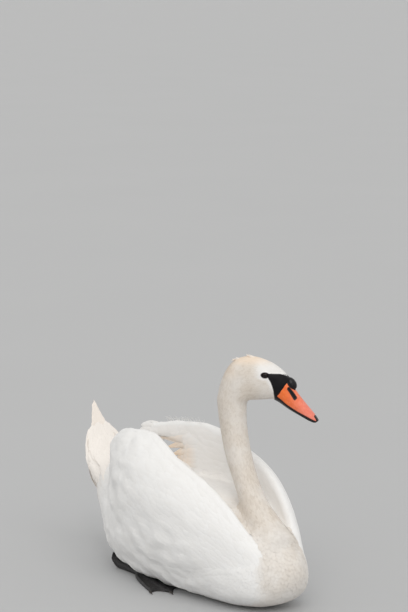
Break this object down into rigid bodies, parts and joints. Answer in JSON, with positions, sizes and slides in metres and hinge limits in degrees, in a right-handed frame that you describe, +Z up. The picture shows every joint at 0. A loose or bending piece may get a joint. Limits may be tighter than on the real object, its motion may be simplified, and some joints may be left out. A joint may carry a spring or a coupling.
{
  "type": "mute swan",
  "caption": "Life-size mute swan resting on its belly, wings arched over its back, neck raised and head turned to its left, with a knobbed bill and a cocked tail.",
  "frame": {"origin": "on the floor under the middle of the belly flat", "axes": "+X the way the breast faces, +Y the bird's left, +Z up"},
  "size_m": [0.6645, 0.291, 0.475],
  "materials": {
    "white_plumage": "soft white contour feathers",
    "cream_plumage": "short cream-white feathers",
    "orange_bill": "satin horn",
    "black_bill": "satin black horn and bare skin",
    "eye": "wet dark brown eye",
    "leg_skin": "dark scaled skin"
  },
  "bodies": {
    "root": {"trunk": "white_plumage", "neck_lower": "cream_plumage", "neck_middle": "cream_plumage", "neck_upper": "cream_plumage", "head": "cream_plumage", "bill_upper": "orange_bill", "bill_lower": "black_bill", "bill_nail": "black_bill", "bill_knob": "black_bill", "eye_left": "eye", "eye_right": "eye", "tail_fan": "white_plumage", "wing_left": "white_plumage", "primaries_left": "white_plumage", "foot_left": "leg_skin", "shank_left": "leg_skin", "wing_right": "white_plumage", "primaries_right": "white_plumage", "foot_right": "leg_skin", "shank_right": "leg_skin"}
  },
  "joints": []
}
